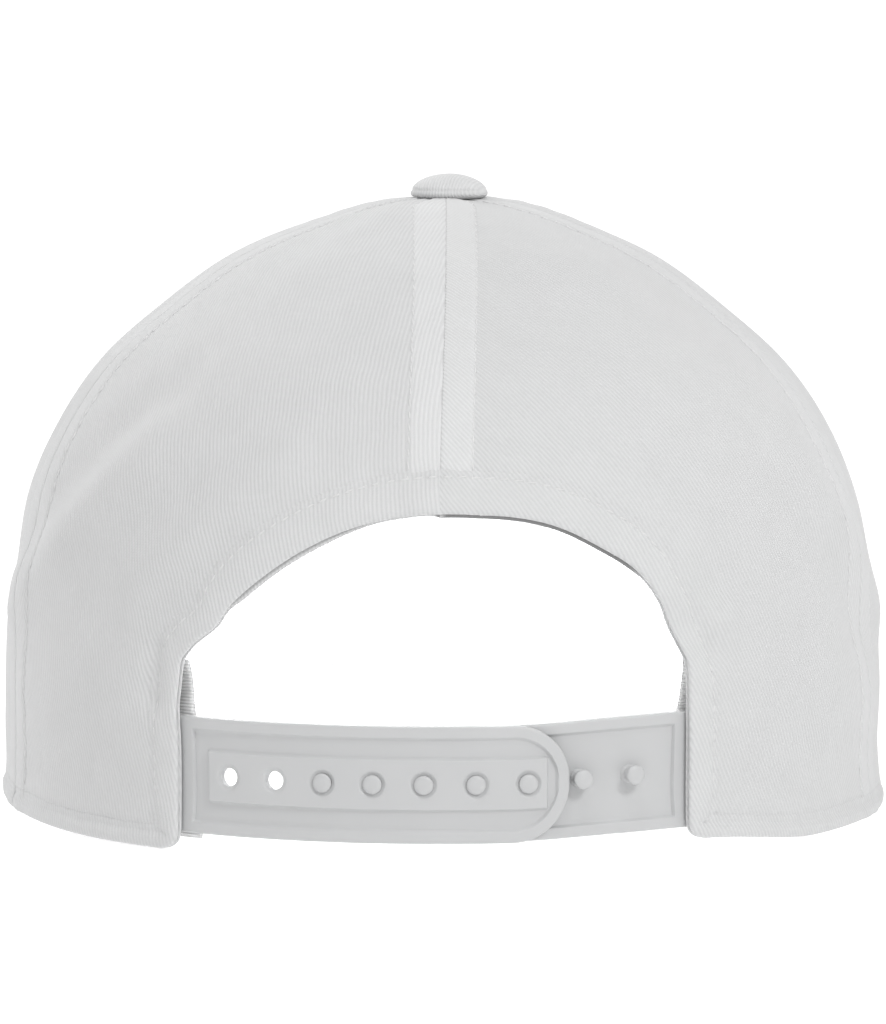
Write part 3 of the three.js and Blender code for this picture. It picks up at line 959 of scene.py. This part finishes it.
def makeStitches(panel, frames):
    bm = bmesh.new()
    lowest = {"from": 0.02, "to": 0.02}
    highest = seam["stitchedTo"]
    if "arch" in panel:
        lowest["from" if panel["arch"] == "left" else "to"] = levelAt((arch["top"] + 2) / crown["height"])
        highest = seam["backStitchedTo"]
    for side, sign in (("from", 1), ("to", -1)):
        line = seamLine(panel[side], sign * seam["band"], lowest[side], highest, panel)
        addStitches(bm, line, stitch, 0.5)
    hemLine = []
    for item in frames:
        if item["width"] > hem["side"] - hem["narrower"] - 0.1:  # not round the corner or along the rim
            point, (angle, level) = hemPlace(panel, item, item["width"], 0.5 * hemWander(item) - 0.06)
            hemLine.append((point, crownNormal(angle, level)))
    if hemLine:
        addStitches(bm, hemLine, stitch, 0.4)
    return bm


panelPieces = []
for panel in panelRows:
    cloth, frames = makePanel(panel)
    title = panel["name"].replace("_", "-")
    cloth = newPiece(title + "-cloth", cloth, clothFinish)
    edge = newPiece(title + "-hem", makeHem(panel, frames), clothFinish)
    sewing = newPiece(title + "-stitches", makeStitches(panel, frames), stitchFinish)
    panelPieces.append((panel, cloth, [edge, sewing]))
print("panels made")


# Covered button

button = {
    "radius": 7.7,
    "height": 4.8,
    "widest": 0.9,  # height of its widest place
    "lift": 120.0,
    "shift": -1.2,
    "pleats": 9,
    "pleatDepth": 0.2,
    "lip": 0.22,  # a crease round the lower left, where the cover is gathered under
}


def makeButton():
    bm = newMesh()
    bmesh.ops.create_uvsphere(bm, u_segments=96, v_segments=48, radius=1)
    flat = {}
    for vert in bm.verts:
        x, y, z = vert.co
        turn = math.atan2(y, x)
        out = math.hypot(x, y)
        upper = button["height"] - button["widest"]
        height = button["widest"] + (upper * z if z > 0 else button["widest"] * 1.3 * z)
        radius = button["radius"] * (out if z > 0 else out**0.4)
        low = smooth((0.55 - z) / 0.7) * out
        crease = abs(math.sin(turn * button["pleats"] / 2 + 1.5 * wander(41, turn * 1.5))) ** 0.5
        gathered = 0.4 + 0.6 * smooth(0.5 + 0.8 * math.cos(turn - 0.9))  # most of it at the lower left
        radius -= button["pleatDepth"] * low * (1 - crease) * gathered
        radius -= button["lip"] * bell(z - 0.18 - 0.1 * wander(47, turn), 0.07) * gathered * out
        height += 0.1 * wander(43, x * 2, y * 2)
        spread = button["radius"] * 1.3
        flat[vert] = (x * spread, y * spread)
        vert.co = (
            button["shift"] + radius * math.cos(turn),
            radius * math.sin(turn),
            button["lift"] + max(height, -0.2),
        )
    writeFlat(bm, flat)
    writeLayersAndPaintedShade(bm, {vert: 0.8 for vert in bm.verts})
    return newPiece("button-covered", bm, clothFinish)


buttonPiece = makeButton()
print("button made")


# Peak

peak = {
    "reach": 68.0,
    "half": 82.0,
    "thickness": 3.0,
    "dip": 7.0,
    "cornerDrop": 3.5,
    "turn": 112.0,
    "squareness": 0.95,
    "gap": 0.3,
    "columns": 120,
    "edgeSteps": [0.0, 0.12, 0.4, 0.9, 1.6, 2.4, 3.2, 4.2],
    "middleRows": 110,
    "rowPitch": 7.6,  # between rows of stitches
    "firstRow": 5.0,
    "groove": 0.36,
    "grooveWidth": 0.9,
    "ridge": (0.25, 2.2, 0.9),  # height, distance from the edge and width
    "furrow": (0.3, 4.2, 0.7),
}


def peakEdges(across):  # the outer and the inner end of one line of the peak, seen from above
    halfSpan = math.radians(180 - crown["frontSeam"])
    cornerY = -crown["front"] * math.cos(halfSpan) - peak["cornerDrop"]
    tipY = -(crown["front"] + peak["reach"])
    turn = math.radians(peak["turn"])
    power = peak["squareness"]
    cornerShare = abs(math.cos(turn)) ** power
    halfLength = (cornerY - tipY) / (1 + cornerShare)
    around = across * turn
    x = peak["half"] * math.copysign(abs(math.sin(around)) ** power, around)
    forward = math.copysign(abs(math.cos(around)) ** power, math.cos(around))
    outer = Vector((x, tipY + halfLength * (1 - forward), 0))
    angle = math.pi - across * halfSpan
    rim = crownOutside(angle, 0) + crownNormal(angle, 0) * peak["gap"]
    return outer, Vector((rim.x, rim.y, 0))


def peakPoint(across, share, rise):  # share is 0 at the outer edge and 1 at the crown
    outer, rim = peakEdges(across)
    place = outer.lerp(rim, share)
    place.z = (crown["frontRise"] - peak["dip"] * (1 - share)) * peakBend(place.x) + rise
    return place


def peakShares(across):
    outer, rim = peakEdges(across)
    length = max((outer - rim).length, 1e-3)
    steps = [step * min(1.0, 0.4 * length / peak["edgeSteps"][-1]) / length for step in peak["edgeSteps"]]
    count = peak["middleRows"]
    return steps + [mix(steps[-1], 1.0, index / count) for index in range(1, count + 1)], length


def makePeak():
    bm = newMesh()
    columns = peak["columns"]
    lines = [peakShares(mix(-1, 1, column / columns)) for column in range(columns + 1)]
    rows = len(lines[0][0]) - 1
    ridgeHeight, ridgeFrom, ridgeWidth = peak["ridge"]
    furrowDepth, furrowFrom, furrowWidth = peak["furrow"]

    def place(column, row, side):
        shares, length = lines[column]
        across = mix(-1, 1, column / columns)
        fromEdge = shares[row] * length
        half = peak["thickness"] / 2
        ridge = ridgeHeight * bell(fromEdge - ridgeFrom, ridgeWidth)
        ridge -= furrowDepth * bell(fromEdge - furrowFrom, furrowWidth)
        stitched = (fromEdge - peak["firstRow"]) / peak["rowPitch"]
        away = abs(stitched - round(stitched)) * peak["rowPitch"]
        groove = peak["groove"] * bell(away, peak["grooveWidth"]) if stitched > -0.3 else 0.0
        if not side:
            ridge = min(ridge, 0.0)  # flat below, so it stays on the floor
        rise = half * rounded(fromEdge, half) + (ridge - groove) * smooth(fromEdge)
        return peakPoint(across, shares[row], half + (rise if side else -rise))

    keys = addSlab(bm, columns, rows, place)

    def mapped(column, row):
        point = peakPoint(mix(-1, 1, column / columns), lines[column][0][row], 0)
        return point.x, point.y

    writeMap(bm, keys, mapped)
    writeLayersAndPaintedShade(bm, {vert: 0.6 for vert in bm.verts})
    return newPiece("peak-cloth", bm, clothFinish)


def sewPeak():
    bm = bmesh.new()
    half = peak["thickness"] / 2
    count = int((peak["reach"] - peak["firstRow"]) / peak["rowPitch"])
    for row in range(count + 1):
        offset = peak["firstRow"] + row * peak["rowPitch"]
        for side in (0, 1):
            line = []
            for index in range(181):
                across = mix(-0.985, 0.985, index / 180)
                outer, rim = peakEdges(across)
                length = (outer - rim).length
                if offset < length - 1.5:
                    rise = half + (half - peak["groove"]) * (1 if side else -1)
                    point = peakPoint(across, offset / length, rise)
                    ahead = peakPoint(across + 0.01, offset / length, rise) - point
                    back = peakPoint(across, offset / length + 0.01, rise) - point
                    normal = ahead.cross(back).normalized()
                    line.append((point, normal if (normal.z > 0) == bool(side) else -normal))
            if len(line) > 4:
                addStitches(bm, line, stitch, 0.3)
    return newPiece("peak-stitches", bm, stitchFinish)


peakPiece, peakSewing = makePeak(), sewPeak()
print("peak made")


# Sweatband

band = {
    "height": 34.0,
    "fromRim": 2.0,
    "thickness": 1.0,
    "depth": 2.1,  # below the crown's outside
    "strapRoom": 1.8,  # it goes deeper where the strap lies between it and the crown
    "leftShows": (2.0, -2.2, 2.6),  # how far it stands out past the arch's side, low and high, and the bend
    "rightShows": (2.2, -2.8, 1.6),
    "endAngles": (33.05, 31.0),  # from the middle of the back
    "tuck": 15.6,
    "fade": 16.0,
    "columns": 260,
    "endSteps": [0.0, 0.1, 0.35, 0.9, 2.0],
    "steps": [0.0, 0.08, 0.3, 0.8, 2.0, 3.2, 3.7, 4.3, 6.0],
    "middleRows": 12,
}


def showsAt(side, share):
    low, high, power = band[side + "Shows"]
    return mix(low, high, share**power)


def dividedLine(steps, length, count):  # fine steps at both ends, and even ones between them
    middle = [mix(steps[-1], length - steps[-1], index / count) for index in range(1, count)]
    return steps + middle + [length - step for step in reversed(steps)]


def makeBand():
    bm = newMesh()
    heights = dividedLine(band["steps"], band["height"], band["middleRows"])
    length = math.radians(360 - sum(band["endAngles"])) * crown["half"]
    alongs = dividedLine(band["endSteps"], length, band["columns"])

    def place(column, row, side):
        height = heights[row]
        share = height / band["height"]
        left = math.asin((arch["left"] - showsAt("left", share)) / crown["half"])
        right = 2 * math.pi - math.asin((arch["right"] - showsAt("right", share)) / crown["half"])
        angle = mix(left, right, alongs[column] / length)
        nearest = min(angle - left, right - angle)
        behind = smooth(1 - (nearest - band["tuck"] / crown["half"]) / math.radians(band["fade"]))
        depth = band["depth"] + behind * band["strapRoom"]
        fromEnd = min(alongs[column], length - alongs[column], height, band["height"] - height)
        half = band["thickness"] / 2
        groove = 0.15 * bell(min(height, band["height"] - height) - 3.6, 0.5)
        swell = 0.1 * wander(51, alongs[column] / 14, height / 9)
        thick = half * rounded(fromEnd, half) - groove
        out = -(depth + half) + thick * (1 if side else -1) - swell
        level = levelAt((band["fromRim"] + height) / crown["height"])
        return crownPlace(angle, level, out)

    keys = addSlab(bm, len(alongs) - 1, len(heights) - 1, place)
    writeMap(bm, keys, lambda column, row: (alongs[column], heights[row]))
    return newPiece("sweatband-cloth", bm, tapeFinish)


bandPiece = makeBand()
print("sweatband made")


# Snap strap

strap = {
    "height": 21.9,
    "fromFloor": 3.5,
    "sheet": 0.95,
    "relief": 0.7,
    "edgeRadius": 0.45,
    "sharpAngle": 38,  # edges sharper than this are shaded as edges
    "border": 2.1,
    "slope": 0.7,
    "plateSlope": 0.5,
    "depth": 2.1,
    "tuck": 12.0,
    "leftEnd": -25.2,
    "rightEnd": 27.0,
    "pitch": 10.1,
    "firstHole": 43.5,
    "holes": 7,
    "pegs": 7,
    "freePegs": 2,
    "freeShift": 0.8,
    "freeHeadRadius": 1.85,
    "holeRadius": 1.7,
    "holeSegments": 40,
    "recessRadius": 2.3,
    "headRadius": 1.8,
    "shaftRadius": 1.45,
    "pegSegments": 32,
    "plateHalf": 4.5,
    "plateStart": 47.8,
    "plateEnd": -20.6,
    "stackRun": 19.0,
    "gap": 0.3,
    "rise": 1.2,  # the right half rises a little towards its end
}
strapThickness = strap["sheet"] + strap["relief"]


def backPlace(along, height, out):
    angle = along / crown["half"]
    return crownPlace(angle, levelFor(angle, height), out)


def strapRise(along):
    return strap["rise"] * smooth((-along - 12) / 36)


def rightDepth(along):
    diveEnd = strap["leftEnd"] - strap["gap"]
    step = strapThickness + strap["gap"]
    return strap["depth"] + step * smooth((along - (diveEnd - strap["stackRun"])) / strap["stackRun"])


def strapSteps(start, end, extra):  # places along one half, from its rounded end to the end under the crown
    half = strap["height"] / 2
    border = strap["border"]
    near = [0.02, 0.1, 0.3, 0.6, 1.0, 1.5, border - 0.1, border + 0.02]
    near += [border + strap["slope"] * share for share in (0.25, 0.5, 0.75, 1.05)]
    count = 26
    near += [half * (1 - math.cos(math.pi / 2 * index / count)) for index in range(9, count)]
    length = abs(end - start)
    near += [mix(half, length, index / 90) for index in range(91)]
    near = [step for step in near if all(abs(step - value) > 0.14 for value in extra)] + extra
    return sorted(set(round(step, 4) for step in near))


# Across the strap at one step: half its width, half the width inside its border, and the heights of its rows.
def strapColumn(step):
    half, border = strap["height"] / 2, strap["border"]
    before = max(0.0, half - step)
    outer = math.sqrt(max(half**2 - before**2, 0.0))
    inner = 0.0
    if step > border:
        inner = math.sqrt(max((half - border) ** 2 - before**2, 0.0))
    inner = min(inner, max(outer - 0.6, 0.0))
    rows = [max(outer - value, 0.0) for value in (0.0, 0.06, 0.2, 0.45)]
    rows += [mix(rows[-1], inner, share) for share in (0.33, 0.66, 0.9)]
    rows += [max(inner - strap["slope"] * share, 0.0) for share in (0.0, 0.2, 0.4, 0.6, 0.8, 1.05)]
    rest = rows[-1]
    plateTop = min(strap["plateHalf"], 0.8 * rest)
    rows += [mix(rest, plateTop + 0.6, share) for share in (0.3, 0.6, 0.9)] if rest > 1.5 else [rest] * 3
    rows += [min(rest, plateTop + value) for value in (0.52, 0.4, 0.27, 0.13, 0.0)]
    rows += [mix(0.0, plateTop, share) for share in (0.94, 0.75, 0.5, 0.25, 0.0)]
    for index in range(1, len(rows)):
        rows[index] = min(rows[index], rows[index - 1])
    return outer, inner, rows


def strapHalf(start, end, depthAt, plate, hemEdge):
    bm = bmesh.new()
    heading = math.copysign(1, start - end)
    half = strap["height"] / 2
    border, slope = strap["border"], strap["slope"]
    extra = []
    for edge, away in plate:
        extra += [abs(edge - end) + away * value for value in (-0.1, 0.0, 0.15, 0.3, 0.45, 0.6)]
    flange = abs(hemEdge - end) - 2.3
    extra += [flange - 0.4, flange - 0.3, flange - 0.1, flange, flange + 0.1]
    steps = strapSteps(start, end, extra)
    columns = [strapColumn(step) for step in steps]
    lines = len(columns[0][2]) - 1

    def raisedAt(step, rise):
        outer, inner, _ = columns[steps.index(step)]
        along = end + heading * step
        lowered = 1 - rounded(min(outer - abs(rise), step), strap["edgeRadius"])
        inBorder = 1 - smooth((inner - abs(rise)) / slope) if step > border else 1.0
        if step > border:
            inBorder = max(inBorder, 1 - smooth((step - border) / slope))
        inFlange = smooth((step - flange + 0.3) / 0.3)
        raised = max(inBorder, inFlange)
        if plate:
            low, high = sorted(edge for edge, _ in plate)
            inside = min(along - low, high - along)
            wide = strap["plateSlope"]
            inPlate = smooth((inside + wide) / wide)
            inPlate *= smooth((strap["plateHalf"] + wide - abs(rise)) / wide)
            raised = max(raised, inPlate)
        return strap["relief"] * (raised - 1) - lowered * strap["edgeRadius"]

    def place(columnIndex, row, side):
        step = steps[columnIndex]
        index = abs(row - lines)
        rise = columns[columnIndex][2][lines - index] * (1 if row >= lines else -1)
        along = end + heading * step
        depth = depthAt(along)
        middle = strap["fromFloor"] + half + strapRise(along)
        out = -depth + raisedAt(step, rise) if side else -(depth + strapThickness)
        return backPlace(along, middle + rise, out)

    addSlab(bm, len(steps) - 1, 2 * lines, place)
    bmesh.ops.remove_doubles(bm, verts=bm.verts, dist=0.004)
    bmesh.ops.dissolve_degenerate(bm, edges=bm.edges, dist=0.004)
    bmesh.ops.recalc_face_normals(bm, faces=bm.faces)
    return bm


def addTurned(bm, profile, along, depth, segments):  # a turned shape standing on the strap
    angle = along / crown["half"]
    middle = strap["fromFloor"] + strap["height"] / 2 + strapRise(along)
    out = crownNormal(angle, levelAt(middle / crown["height"]))
    foot = backPlace(along, middle, -depth)
    part = bmesh.new()
    corners = [part.verts.new((radius, 0, rise)) for radius, rise in profile]
    edges = [part.edges.new(pair) for pair in zip(corners, corners[1:])]
    bmesh.ops.spin(
        part,
        geom=corners + edges,
        cent=(0, 0, 0),
        axis=(0, 0, 1),
        angle=2 * math.pi,
        steps=segments,
        use_merge=True,
    )
    bmesh.ops.remove_doubles(part, verts=part.verts, dist=0.002)
    bmesh.ops.recalc_face_normals(part, faces=part.faces)
    matrix = Matrix.Translation(foot) @ out.to_track_quat("Z", "Y").to_matrix().to_4x4()
    bmesh.ops.transform(part, matrix=matrix, verts=part.verts)
    addMesh(bm, part)


def holeProfile():  # radius and height out of the strap, with the recess round the hole
    recess, hole = strap["recessRadius"], strap["holeRadius"]
    return [
        (0.0, -4.0),
        (hole + 0.12, -4.0),
        (hole + 0.05, -strapThickness + 0.05),
        (hole, -strapThickness + 0.3),
        (hole, -0.5),
        (hole + 0.08, -0.38),
        (recess - 0.25, -0.33),
        (recess - 0.08, -0.24),
        (recess + 0.06, -0.12),
        (recess + 0.22, -0.03),
        (recess + 0.42, 0.02),
        (recess + 0.6, 1.5),
        (0.0, 1.5),
    ]


def pegProfile(head):  # the same for a peg with its head's radius
    shaft = strap["shaftRadius"]
    neck = strapThickness + strap["gap"] + strap["relief"] + 0.1
    return [
        (0.0, -0.4),
        (shaft + 0.45, -0.4),
        (shaft + 0.3, 0.12),
        (shaft, 0.45),
        (shaft, neck - 0.45),
        (shaft + 0.05, neck - 0.42),
        (head - 0.06, neck - 0.34),
        (head, neck - 0.22),
        (head - 0.03, neck + 0.02),
        (head - 0.2, neck + 0.2),
        (head - 0.55, neck + 0.36),
        (head - 1.1, neck + 0.46),
        (0.0, neck + 0.5),
    ]


def cutHoles(piece, alongs):
    bm = bmesh.new()
    for along in alongs:
        addTurned(bm, holeProfile(), along, strap["depth"], strap["holeSegments"])
    cutter = newPiece("cutter", bm, plasticFinish)
    modifier = piece.modifiers.new("holes", "BOOLEAN")
    modifier.operation = "DIFFERENCE"
    modifier.solver = "EXACT"
    modifier.object = cutter
    graph = bpy.context.evaluated_depsgraph_get()
    cut = bpy.data.meshes.new_from_object(piece.evaluated_get(graph))
    piece.modifiers.clear()
    piece.data = cut
    bpy.data.objects.remove(cutter)
    shadeSmooth(cut, strap["sharpAngle"])


def makeStrap():
    leftEdge = sideAngle(arch["left"], 0.1) * crown["half"]
    rightEdge = -sideAngle(arch["right"], 0.1) * crown["half"]
    leftStart, rightStart = leftEdge + strap["tuck"], rightEdge - strap["tuck"]
    plate = [(strap["plateStart"], 1), (strap["plateEnd"], 1)]
    bm = strapHalf(leftStart, strap["leftEnd"], lambda along: strap["depth"], plate, leftEdge)
    left = newPiece("strap-left-moulded", bm, plasticFinish, strap["sharpAngle"])
    holes = [strap["firstHole"] - index * strap["pitch"] for index in range(strap["holes"])]
    cutHoles(left, holes)
    bm = strapHalf(rightStart, strap["rightEnd"], rightDepth, [], rightEdge)
    for index in range(strap["pegs"]):
        along = strap["firstHole"] - (strap["holes"] + strap["freePegs"] - 1 - index) * strap["pitch"]
        head = strap["headRadius"]
        depth = rightDepth(along) + strap["relief"]
        if index < strap["freePegs"]:
            head = strap["freeHeadRadius"]
            along -= strap["freeShift"]
        addTurned(bm, pegProfile(head), along, depth, strap["pegSegments"])
    right = newPiece("strap-right-moulded", bm, plasticFinish, strap["sharpAngle"])
    return left, right


strapLeft, strapRight = makeStrap()
print("strap made")


# What each piece rides on and stands for

pieceRows = []
for panel, cloth, added in panelPieces:
    pieceRows.append((cloth, panel["name"], "twill"))
    pieceRows += [(piece, None, "twill") for piece in added]
pieceRows += [
    (buttonPiece, "top_button", "twill"),
    (peakPiece, "peak", "twill"),
    (bandPiece, "sweatband", "band_cloth"),
    (strapLeft, "strap_left", "strap_plastic"),
    (strapRight, "strap_right", "strap_plastic"),
    (peakSewing, None, "twill"),
]
for piece, node, slot in pieceRows:
    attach(piece, "root")
    if node:
        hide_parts(node)
for panel, cloth, added in panelPieces:
    width, length, area = panel["cut"]
print("pieces fastened")


# Studio

studio = {
    "target": (0.0, axisY / 1000, 0.0572),
    "distance": 1.2,
    "elevation": 5.0,
    "lens": 210.94,
    "world": 0.62,
    "floor": 0.45,
    "floorReach": 4.0,
    "floorGlow": 0.72,
    "inner": 0.34,  # watts of the small light that faces the front's inner side
    "innerSize": 0.06,
}
# name, place, size and watts
lightRows = [
    ("key", (-0.75, 1.05, 1.0), 0.35, 7.4),
    ("top", (0.15, 0.45, 1.5), 0.7, 5.0),
    ("fill", (0.9, 1.5, 0.5), 1.2, 0.6),
    ("front", (0.9, -1.2, 0.9), 0.5, 8.0),
]


def addLight(name, place, size, power, facing):
    light = addObject(name, bpy.data.lights.new(name, "AREA"))
    light.data.size = size
    light.data.energy = power
    light.location = place
    light.rotation_euler = facing.to_track_quat("-Z", "Y").to_euler()
    return light


def makeCamera():
    scene = bpy.context.scene
    scene.view_settings.view_transform = "Standard"
    camera = addObject("camera", bpy.data.cameras.new("camera"))
    target = Vector(studio["target"])
    raised = math.radians(studio["elevation"])
    camera.location = target + Vector((0, math.cos(raised), math.sin(raised))) * studio["distance"]
    camera.rotation_euler = (target - camera.location).to_track_quat("-Z", "Y").to_euler()
    camera.data.sensor_width = 36
    camera.data.lens = studio["lens"]
    camera.data.clip_start = 0.05
    scene.camera = camera
    world = bpy.data.worlds.new("studio")
    scene.world = world
    world.use_nodes = True
    background = world.node_tree.nodes["Background"]
    background.inputs["Color"].default_value = (1, 1, 1, 1)
    background.inputs["Strength"].default_value = studio["world"]


def makeFloor():  # it turns up far behind the cap, as a backdrop
    bm = bmesh.new()
    reach = studio["floorReach"]
    bmesh.ops.create_grid(bm, x_segments=4, y_segments=4, size=reach)
    far = [edge for edge in bm.edges if all(vert.co.y < -0.9 * reach for vert in edge.verts)]
    grown = bmesh.ops.extrude_edge_only(bm, edges=far)["geom"]
    upper = [item for item in grown if isinstance(item, bmesh.types.BMVert)]
    bmesh.ops.translate(bm, verts=upper, vec=(0, 0, reach))
    mesh = bpy.data.meshes.new("floor")
    bm.to_mesh(mesh)
    bm.free()
    floor = addObject("floor", mesh)
    finish = Finish("floorPaper")
    place = finish.solid()
    speckle = finish.noise(place, 300.0, 2.0)
    value = studio["floor"]
    colour = finish.colours(speckle, grey(value), grey(value + 0.02))
    surface = {"Specular IOR Level": 0.0}
    surface.update({"Emission Color": (1, 1, 1, 1), "Emission Strength": studio["floorGlow"]})
    mesh.materials.append(finish.finished(surface, colour, speckle, 0.00002, 0.2, 0.9))


def makeLights():
    target = Vector(studio["target"])
    for name, place, size, power in lightRows:
        addLight(name, place, size, power, target - Vector(place))
    place = target + Vector((0, 0.03, 0))
    inner = addLight("inner", place, studio["innerSize"], studio["inner"], Vector((0, -1, 0.1)))
    inner.visible_camera = False


makeCamera()
makeFloor()
makeLights()
print("studio made")
